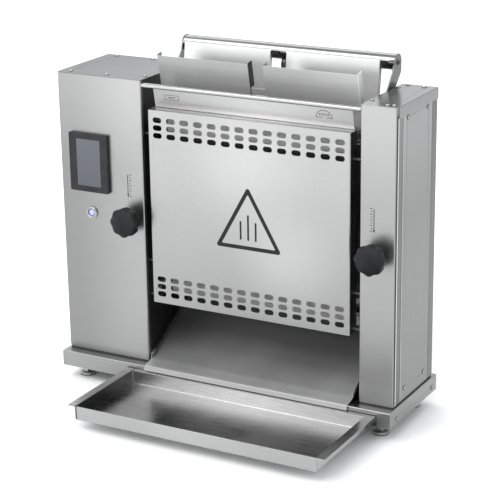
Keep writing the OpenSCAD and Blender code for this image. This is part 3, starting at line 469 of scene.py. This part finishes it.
# Each CAD node's finish and the width of the rounding on its edges, in millimetres
FINISH = {
    "base_pan": ("base", 0.3), "left_front_panel": ("front", 0.3), "right_front_panel": ("front", 0.3),
    "left_inner_wall": ("inner", 0.3), "right_inner_wall": ("inner", 0.3),
    "left_side_cover": ("side", 0.35), "right_side_cover": ("side", 0.35),
    "left_back_panel": ("rear", 0.3), "right_back_panel": ("rear", 0.3),
    "left_top_cover": ("top", 0.35), "right_top_cover": ("top", 0.35), "rear_panel": ("side", 0.3),
    "chute": ("chute", 0.25), "top_rail": ("rail", 0.2), "upper_front_panel": ("upper", 0.25),
    "front_feed_guide": ("guide", 0.25), "platen_front_plate": ("platen", 0.5),
    "platen_rear_plate": ("platen", 0.5), "heating_elements": ("heater", 0.0), "platen_cap": ("cap", 0.4),
    "inner_brackets": ("inner", 0.3), "roller_bearings": ("pin", 0.4), "front_belt": ("belt", 0.2),
    "rear_belt": ("belt", 0.2), "gear_motor": ("motor", 0.6), "motor_bracket": ("side", 0.3),
    "control_board": ("board", 0.2), "power_supply": ("supply", 0.4), "fan_frame": ("black", 0.5),
    "cable_gland": ("black", 0.5), "touch_panel_housing": ("bezel", 0.7), "touch_screen": ("glass", 0.15),
    "button_body": ("chrome", 0.5), "wall_pins": ("pin", 0.3), "fasteners": ("screw", 0.2),
    "tray": ("tray", 0.3), "front_cover": ("cover", 0.3), "handle_bar": ("bar", 0.4),
    "handle_arms": ("arm", 0.4), "rear_feed_guide": ("leaf", 0.25), "left_spindle": ("spindle", 0.4),
    "right_spindle": ("spindle", 0.4), "front_pressure_plate": ("inner", 0.4),
    "rear_pressure_plate": ("inner", 0.4), "front_drive_roller": ("shaft", 0.5),
    "rear_drive_roller": ("shaft", 0.5), "front_idler_roller": ("shaft", 0.5),
    "rear_idler_roller": ("shaft", 0.5), "front_gear": ("gear", 0.15), "rear_gear": ("gear", 0.15),
    "front_reversing_gear": ("gear", 0.15), "rear_reversing_gear": ("gear", 0.15),
    "fan_rotor": ("black", 0.3), "button_cap": ("lens", 0.3), "foot_front_left": ("foot", 0.4),
    "foot_front_right": ("foot", 0.4), "foot_rear_left": ("foot", 0.4), "foot_rear_right": ("foot", 0.4),
    "left_knob": ("knob", 0.5), "right_knob": ("knob", 0.5),
}


def smooth_edges(obj, width):
    """Rounds the sharp edges and keeps the flat faces flat in the shading."""
    weld = obj.modifiers.new("weld", "WELD")
    weld.merge_threshold = 2e-6
    if width > 0:
        bevel = obj.modifiers.new("rounding", "BEVEL")
        bevel.limit_method = "ANGLE"
        bevel.angle_limit = math.radians(34)
        bevel.width = width * MM
        bevel.segments = 2
        bevel.use_clamp_overlap = False
        bevel.miter_outer = "MITER_ARC"
    normals = obj.modifiers.new("normals", "WEIGHTED_NORMAL")
    normals.keep_sharp = False
    normals.weight = 60


for name, (finish, width) in FINISH.items():
    obj = nodes[name]
    for slot in obj.material_slots:
        slot.material = M[finish]
    smooth_edges(obj, width)


# ---------------------------------------------------------------- pieces

def add_piece(name, verts, faces, finish, body):
    """A new piece that rides on a body, with the material slot it exports as."""
    mesh = bpy.data.meshes.new(name)
    mesh.from_pydata([tuple(v) for v in verts], [], faces)
    bm = bmesh.new()
    bm.from_mesh(mesh)
    bmesh.ops.remove_doubles(bm, verts=bm.verts, dist=1e-7)
    bmesh.ops.recalc_face_normals(bm, faces=bm.faces)
    bm.to_mesh(mesh)
    bm.free()
    mesh.materials.append(M[finish])
    obj = bpy.data.objects.new(name, mesh)
    scene.collection.objects.link(obj)
    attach(obj, body)
    return obj


def loft(rings, verts, faces, capped=True):
    """A skin over rings of as many points each, one after another, closed at its ends if capped."""
    first, n = len(verts), len(rings[0])
    for ring in rings:
        verts.extend(ring)
    for k in range(len(rings) - 1):
        near, far = first + k * n, first + (k + 1) * n
        for i in range(n):
            j = (i + 1) % n
            faces.append((near + i, near + j, far + j, far + i))
    if capped:
        last = first + (len(rings) - 1) * n
        faces.append(tuple(first + i for i in range(n)))
        faces.append(tuple(last + i for i in range(n)))


LOBES = 8


def lobed(angle, radius, depth):
    """Radius of a star grip: broad round lobes with narrow hollows between them."""
    return radius - depth * (math.sin(angle * LOBES / 2) ** 2) ** 1.2


# Station behind the front face, radius and depth of the hollows, in millimetres
KNOB_RINGS = [
    (0.0, 0.01, 0), (0.08, 8.0, 0), (0.4, 14.0, 0), (1.0, 19.0, 0.2), (1.9, 23.4, 0.7),
    (3.2, 27.0, 1.5), (5.0, 29.8, 2.4), (7.0, 31.1, 2.9), (9.2, 31.5, 3.0), (14.0, 31.4, 3.0),
    (20.0, 30.8, 3.0), (25.6, 30.0, 3.0), (27.2, 29.2, 2.9), (28.6, 27.2, 2.5), (29.5, 24.0, 1.6),
    (30.0, 20.0, 0.5), (30.6, 17.2, 0), (31.6, 15.4, 0), (33.4, 14.0, 0), (35.6, 13.2, 0),
    (36.6, 12.9, 0), (37.0, 12.2, 0), (37.0, 9.0, 0), (37.0, 5.0, 0),
]
KNOB_STEPS = 128


def build_knob(node, body):
    """A turned and lobed grip that stands for the CAD knob."""
    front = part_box(node)[0].y
    x, _, z = centre(node)
    rings = []
    for back, radius, depth in KNOB_RINGS:
        ring = []
        for i in range(KNOB_STEPS):
            a = TAU * i / KNOB_STEPS
            r = lobed(a, radius, depth) * MM
            ring.append((x + r * math.cos(a), front + back * MM, z + r * math.sin(a)))
        rings.append(ring)
    verts, faces = [], []
    loft(rings, verts, faces, capped=False)
    knob = add_piece(body + "_grip", verts, faces, "knob", body)
    knob.data.shade_smooth()
    soften = knob.modifiers.new("soften", "SUBSURF")
    soften.levels = soften.render_levels = 1
    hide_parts(node)


build_knob("left_knob", "left_adjuster")
build_knob("right_knob", "right_adjuster")


def plate(outline, hole, y, thick, verts, faces):
    """Adds a thin printed shape facing the front, given in X and Z; hole has as many points as outline."""
    start, n = len(verts), len(outline)
    loops = [outline] if hole is None else [outline, hole]
    for depth in (y, y - thick):
        for loop in loops:
            verts.extend((px, depth, pz) for px, pz in loop)
    layer = n * len(loops)
    for i in range(n):
        j = (i + 1) % n
        faces.append((start + i, start + j, start + layer + j, start + layer + i))
        if hole is not None:
            faces.append((start + n + i, start + layer + n + i, start + layer + n + j, start + n + j))
            for top in (0, layer):
                faces.append((start + top + i, start + top + j, start + top + n + j, start + top + n + i))
    if hole is None:
        faces.append(tuple(start + i for i in range(n)))
        faces.append(tuple(start + layer + i for i in range(n)))


def rounded(points, radius, steps=6):
    """The corners of an anticlockwise outline, each replaced by an arc."""
    out, n = [], len(points)
    for i in range(n):
        a, b, c = (Vector(points[(i + k) % n]) for k in (-1, 0, 1))
        u, v = (a - b).normalized(), (c - b).normalized()
        half = u.angle(v) / 2
        hub = b + (u + v).normalized() * radius / math.sin(half)
        start = b + u * radius / math.tan(half) - hub
        end = b + v * radius / math.tan(half) - hub
        turn = start.angle_signed(end)
        for k in range(steps + 1):
            t = -turn * k / steps
            out.append((hub.x + start.x * math.cos(t) - start.y * math.sin(t),
                        hub.y + start.x * math.sin(t) + start.y * math.cos(t)))
    return out


def bar_outline(x0, x1, z0, z1, radius, steps=4):
    """A rectangle with rounded corners."""
    return rounded([(x0, z0), (x1, z0), (x1, z1), (x0, z1)], radius, steps)


# Thickness of a printed shape
INK = 0.15 * MM


def adjuster_scale(node, side, name):
    """A setting line with an arrow head at its foot and plain ticks beside it."""
    knob = centre(node)
    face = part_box("left_front_panel")[0].y
    verts, faces = [], []
    line_x = knob.x + (-10 if side < 0 else -7) * MM
    z0, z1 = knob.z + 47 * MM, knob.z + 92 * MM
    half_line, half_tick, gap, gaps = 0.75 * MM, 0.65 * MM, 3.4 * MM, 8
    plate(bar_outline(line_x - half_line, line_x + half_line, z0, z1, 0.3 * MM), None, face, INK,
          verts, faces)
    head = [(line_x - 2.2 * MM, z0 + 3 * MM), (line_x, z0 - 3.5 * MM),
            (line_x + 2.2 * MM, z0 + 3 * MM)]
    plate(rounded(head, 0.3 * MM, 3), None, face, INK, verts, faces)
    for i in range(gaps + 1):
        z = z0 + i * (z1 - z0) / gaps
        reach = (5.4 if i % 2 == 0 else 3.2) * MM
        start = line_x + (gap if side < 0 else -gap - reach)
        plate(bar_outline(start, start + reach, z - half_tick, z + half_tick, 0.4 * MM), None, face, INK,
              verts, faces)
    add_piece(name, verts, faces, "print", "machine")


adjuster_scale("left_knob", -1, "left_setting_scale")
adjuster_scale("right_knob", 1, "right_setting_scale")


def stroke(path, half, face, verts, faces):
    """A printed line of even width along the points, with round ends."""
    path = [Vector(p) for p in path]
    left, right = [], []
    for i, p in enumerate(path):
        run = (path[min(i + 1, len(path) - 1)] - path[max(i - 1, 0)]).normalized()
        side = Vector((-run.y, run.x)) * half
        left.append(p + side)
        right.append(p - side)
    ends = []
    for hub, start in ((path[-1], right[-1]), (path[0], left[0])):
        arm = start - hub
        turn = [math.pi * k / 6 for k in range(1, 6)]
        ends.append([hub + Vector((arm.x * math.cos(a) - arm.y * math.sin(a),
                                   arm.y * math.cos(a) + arm.x * math.sin(a))) for a in turn])
    outline = right + ends[0] + left[::-1] + ends[1]
    plate([tuple(p) for p in outline], None, face, INK, verts, faces)


def cover_emblem():
    """A plain rounded triangle round three straight bars, printed on the perforated cover."""
    lo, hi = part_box("front_cover")
    x, z, face = (lo.x + hi.x) / 2 + 1.8 * MM, lo.z, lo.y
    verts, faces = [], []
    corners = [(x - 74.5 * MM, z + 144.2 * MM), (x + 74.5 * MM, z + 144.2 * MM), (x, z + 275.5 * MM)]
    hub = Vector((x, z + 187.5 * MM))
    inner = [tuple(hub + (Vector(c) - hub) * 0.815) for c in corners]
    plate(rounded(corners, 4.5 * MM, 8), rounded(inner, 1.6 * MM, 8), face, INK, verts, faces)
    foot, half = z + 164 * MM, 2 * MM
    for shift, top in ((-17, 203), (0, 217), (17, 203)):
        middle = x + shift * MM
        plate(bar_outline(middle - half, middle + half, foot, z + top * MM, 1.6 * MM), None, face, INK,
              verts, faces)
    add_piece("cover_emblem", verts, faces, "print", "front_cover")


cover_emblem()


def panel_marks():
    """Outlines of a plate and a half-round badge with plain strokes, on the sloping upper panel."""
    mesh = nodes["upper_front_panel"].data
    face = max((f for f in mesh.polygons if f.normal.y < -0.9), key=lambda f: f.area)
    out = face.normal.copy()
    up = Vector((0, out.z, -out.y)).normalized()
    foot = Vector(face.center) - up * (face.center.z / up.z)
    verts, faces = [], []

    def draw(path, half):
        stroke(path, half * MM, 0.0, verts, faces)

    # The plate, with two strokes
    x0, x1, z0, z1 = -0.1225, -0.09, 0.628 / up.z, 0.6385 / up.z
    line = 0.7 * MM
    outer = bar_outline(x0, x1, z0, z1, 1.2 * MM)
    inner = bar_outline(x0 + line, x1 - line, z0 + line, z1 - line, 0.5 * MM)
    plate(outer, inner, 0.0, INK, verts, faces)
    row = (z0 + z1) / 2
    for a, b in ((9, 17), (19, 23)):
        draw([(x0 + a * MM, row), (x0 + b * MM, row)], 0.8)
    # The badge, open at the middle of its foot, with a row of six strokes
    hub_x, hub_z = 0.2322, z0
    ring = [math.radians(4 * i) for i in range(46)]
    draw([(hub_x + 17 * MM * math.cos(a), hub_z + 15 * MM * math.sin(a)) for a in ring], 0.5)
    for a, b in ((-17, -5), (5, 17)):
        draw([(hub_x + a * MM, hub_z), (hub_x + b * MM, hub_z)], 0.5)
    for i in range(6):
        x = hub_x + (4 * i - 10) * MM
        draw([(x, hub_z + 4.2 * MM), (x, hub_z + 8.2 * MM)], 0.7)
    verts = [foot + Vector((px, 0, 0)) + up * pz - out * depth for px, depth, pz in verts]
    add_piece("upper_panel_marks", verts, faces, "print", "machine")


panel_marks()


def chute_edging():
    """Folded safety edge along the top of the chute's left flange."""
    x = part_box("chute")[0].x - 3.0 * MM
    verts, faces = [], []
    section = bar_outline(0, 8.5 * MM, 0, 1.6 * MM, 0.6 * MM, 3)
    joints = [(0.0235, 0.0785), (0.0335, 0.0862), (0.165, 0.1595)]
    for ends in zip(joints, joints[1:]):
        loft([[(x + a, y, z + b) for a, b in section] for y, z in ends], verts, faces)
    add_piece("chute_edging", verts, faces, "arm", "machine")


chute_edging()


def window_strap():
    """Bent stiffening strap behind the rear guide's window, hung from the handle bar, dark with painted
    shade and painted highlights.
    """
    verts, faces = [], []
    section = bar_outline(57.4 * MM, 70.6 * MM, -1 * MM, 1 * MM, 0.5 * MM, 3)
    stations = [(174.5, 640.0), (174.5, 694.0), (175.0, 697.0), (176.5, 700.0), (179.5, 702.5),
                (184.0, 704.5)]
    loft([[(a, y * MM + b, z * MM) for a, b in section] for y, z in stations], verts, faces)
    add_piece("window_strap", verts, faces, "strap", "rear_guide")


window_strap()


def paint_fold_shade():
    """Painted shade lines down the columns' outer front corners."""
    verts, faces = [], []
    section = bar_outline(0, 5.0 * MM, 0, 0.12 * MM, 0.04 * MM, 2)
    for node, turn in (("left_front_panel", -1), ("right_front_panel", 1)):
        lo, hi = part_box(node)
        x, y = lo.x if turn < 0 else hi.x, lo.y + 1.8 * MM
        ends = (lo.z + 4 * MM, hi.z - 14 * MM)
        loft([[(x + turn * b, y + a, z) for a, b in section] for z in ends], verts, faces)
    add_piece("column_fold_shade_lines", verts, faces, "black", "machine")


paint_fold_shade()


def rear_shade_sheets():
    """Dark sheets inside the rear panel, behind its two fields of slots, that paint in the shade seen
    through them.
    """
    lo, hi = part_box("rear_panel")
    margin, height, back, thick = 6 * MM, 44 * MM, hi.y - 4 * MM, 0.8 * MM
    verts, faces = [], []
    for z in (lo.z + 112 * MM, lo.z + 432 * MM):
        plate(bar_outline(lo.x + margin, hi.x - margin, z, z + height, 3 * MM), None, back, thick,
              verts, faces)
    add_piece("rear_shade_sheets", verts, faces, "inner", "machine")


rear_shade_sheets()


# How far a casing screw's head stands out; a fastener longer than the limit is no casing screw.
HEAD_RISE = 2.6 * MM
SCREW_LIMIT = 5 * MM
SHADOW_RING_OUT, SHADOW_RING_IN = 1.5 * MM, 1.2 * MM


def shadow_ring(lo, hi, verts, faces, steps=32):
    """A thin dark ring on the casing under the edge of the screw head with those corners, a painted shadow.
    """
    size = hi - lo
    axis = min(range(3), key=lambda i: size[i])
    if axis == Y or size[axis] > SCREW_LIMIT:
        return
    mid, radius = (lo + hi) / 2, max(size) / 2
    outward = 1 if mid[axis] > 0 else -1
    casing = hi[axis] - HEAD_RISE if outward > 0 else lo[axis] + HEAD_RISE
    a, b = [i for i in range(3) if i != axis]
    first = len(verts)
    outer, inner = radius + SHADOW_RING_OUT, radius - SHADOW_RING_IN
    for r, up in ((outer, 0), (outer, INK), (inner, INK), (inner, 0)):
        for k in range(steps):
            v = Vector(mid)
            v[axis] = casing + outward * up
            v[a] += r * math.cos(TAU * k / steps)
            v[b] += r * math.sin(TAU * k / steps)
            verts.append(v)
    for ring in range(4):
        for k in range(steps):
            j = (k + 1) % steps
            p, q = first + ring * steps, first + (ring + 1) % 4 * steps
            faces.append((p + k, p + j, q + j, q + k))


def screw_shadow_rings():
    """A painted shadow ring round each screw head on the casing."""
    bm = bmesh.new()
    bm.from_mesh(nodes["fasteners"].data)
    bmesh.ops.remove_doubles(bm, verts=bm.verts, dist=2e-6)
    seen = set()
    verts, faces = [], []
    for seed in bm.verts:
        if seed in seen:
            continue
        seen.add(seed)
        group = [seed]
        for v in group:
            for e in v.link_edges:
                other = e.other_vert(v)
                if other not in seen:
                    seen.add(other)
                    group.append(other)
        lo = Vector(min(v.co[i] for v in group) for i in range(3))
        hi = Vector(max(v.co[i] for v in group) for i in range(3))
        shadow_ring(lo, hi, verts, faces)
    bm.free()
    add_piece("screw_shadow_rings", verts, faces, "black", "machine")


screw_shadow_rings()


def tube(path, radius, steps, verts, faces, ripple=0.0, waves=0):
    """A closed rod through the points, its radius rippled along its length."""
    path = [Vector(p) for p in path]
    rings = []
    for i, p in enumerate(path):
        t = (path[min(i + 1, len(path) - 1)] - path[max(i - 1, 0)]).normalized()
        side = t.cross(Vector((0.3, 0.2, 0.9)) if abs(t.z) < 0.9 else Vector((1, 0, 0))).normalized()
        up = t.cross(side)
        end = min(i, len(path) - 1 - i)
        r = radius * (0.35 if end == 0 else 1.0) * (1 + ripple * math.sin(TAU * waves * i / len(path)))
        turn = [TAU * k / steps for k in range(steps)]
        rings.append([p + (side * math.cos(a) + up * math.sin(a)) * r for a in turn])
    loft(rings, verts, faces)


def tray_welds():
    """Ground weld beads up the four inside corners of the tray."""
    lo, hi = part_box("tray")
    sheet, flange, rim = 1.5 * MM, 19 * MM, 12 * MM
    x0, x1 = lo.x + flange, hi.x - flange
    y0, y1 = lo.y + sheet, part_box("base_pan")[0].y - rim - sheet
    verts, faces = [], []
    for x in (x0, x1):
        for y in (y0, y1):
            path = [(x, y, lo.z + (2.2 + 26.3 * i / 60) * MM) for i in range(61)]
            tube(path, 1.1 * MM, 12, verts, faces, 0.07, 20)
    obj = add_piece("tray_corner_welds", verts, faces, "bead", "tray")
    obj.data.shade_smooth()


tray_welds()


def button_pieces():
    """A raised ring and stroke on the button cap, and a polished ring round the cap."""
    cap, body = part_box("button_cap"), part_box("button_body")
    x, _, z = centre("button_cap")
    verts, faces = [], []
    sign, half, rim_radius = 3.6 * MM, 0.35 * MM, 10.4 * MM
    arc = [math.radians(-235 + 290 * i / 40) for i in range(41)]
    tube([(x + sign * math.cos(a), cap[0].y, z + sign * math.sin(a)) for a in arc], half, 10, verts, faces)
    tube([(x, cap[0].y, z + (1.2 + 3.6 * i / 8) * MM) for i in range(9)], half, 10, verts, faces)
    symbol = add_piece("button_symbol", verts, faces, "glow", "power_button")
    symbol.data.shade_smooth()
    verts, faces = [], []
    ring, y = [TAU * i / 96 for i in range(97)], body[0].y + 0.15 * MM
    tube([(x + rim_radius * math.cos(a), y, z + rim_radius * math.sin(a)) for a in ring], 1.15 * MM, 16,
         verts, faces)
    rim = add_piece("button_rim", verts, faces, "chrome", "machine")
    rim.data.shade_smooth()


button_pieces()


# ---------------------------------------------------------------- stage

def floor():
    """Plain white paper just under the feet."""
    mesh = bpy.data.meshes.new("floor")
    size, gap = 14.0, 0.2 * MM
    corners = [(-size, -size, 0), (size, -size, 0), (size, size, 0), (-size, size, 0)]
    mesh.from_pydata(corners, [], [(0, 1, 2, 3)])
    obj = bpy.data.objects.new("floor", mesh)
    scene.collection.objects.link(obj)
    obj.location.z = cad_box[0].z - gap
    s = Shader("floor_white_paper")
    patch = s.noise((1.5, 1.5, 1.5), 2.0)
    mesh.materials.append(s.finish(s.blend(patch, grey(0.94), grey(0.96)), 0.8))


def area_light(name, place, aim, size, power):
    """A soft box that faces the point aim."""
    data = bpy.data.lights.new(name, "AREA")
    data.shape = "RECTANGLE"
    data.size, data.size_y = size
    data.energy = power
    obj = bpy.data.objects.new(name, data)
    scene.collection.objects.link(obj)
    obj.location = place
    obj.rotation_euler = (Vector(aim) - Vector(place)).to_track_quat("-Z", "Y").to_euler()


def world():
    """Even studio light from all round, very slightly cool."""
    studio = bpy.data.worlds.new("studio")
    studio.use_nodes = True
    back = studio.node_tree.nodes["Background"]
    back.inputs["Color"].default_value = (0.97, 0.985, 1.0, 1.0)
    back.inputs["Strength"].default_value = 1.05
    scene.world = studio


CAMERA_AT = (1.6202, -2.8130, 1.4023)
CAMERA_TURN = (28.757, 18.113, -0.793)
CAMERA_LENS = 122.99


def camera():
    """The photograph's viewpoint, with its azimuth, elevation and slight roll, and its lens."""
    azimuth, elevation, roll = (math.radians(angle) for angle in CAMERA_TURN)
    forward = Vector((-math.sin(azimuth) * math.cos(elevation), math.cos(azimuth) * math.cos(elevation),
                      -math.sin(elevation)))
    right = Vector((math.cos(azimuth), math.sin(azimuth), 0))
    up = right.cross(forward)
    turned_right = right * math.cos(roll) + up * math.sin(roll)
    turned_up = up * math.cos(roll) - right * math.sin(roll)
    data = bpy.data.cameras.new("photo_camera")
    data.sensor_width = 36
    data.lens = CAMERA_LENS
    obj = bpy.data.objects.new("photo_camera", data)
    scene.collection.objects.link(obj)
    place = Matrix((turned_right, turned_up, -forward)).transposed().to_4x4()
    place.translation = CAMERA_AT
    obj.matrix_world = place
    scene.camera = obj


floor()
area_light("key_soft", (-0.5, -1.9, 2.7), (-0.3, -0.8, 0.0), (2.6, 2.0), 58)
area_light("back_soft", (-1.4, 2.0, 2.9), (-0.9, 1.2, 0.0), (2.6, 2.0), 45)
area_light("left_soft", (-2.6, -4.4, 0.95), (0.0, 0.0, 0.6), (3.0, 1.4), 35)
world()
camera()
scene.view_settings.view_transform = "Standard"
scene.view_settings.look = "None"
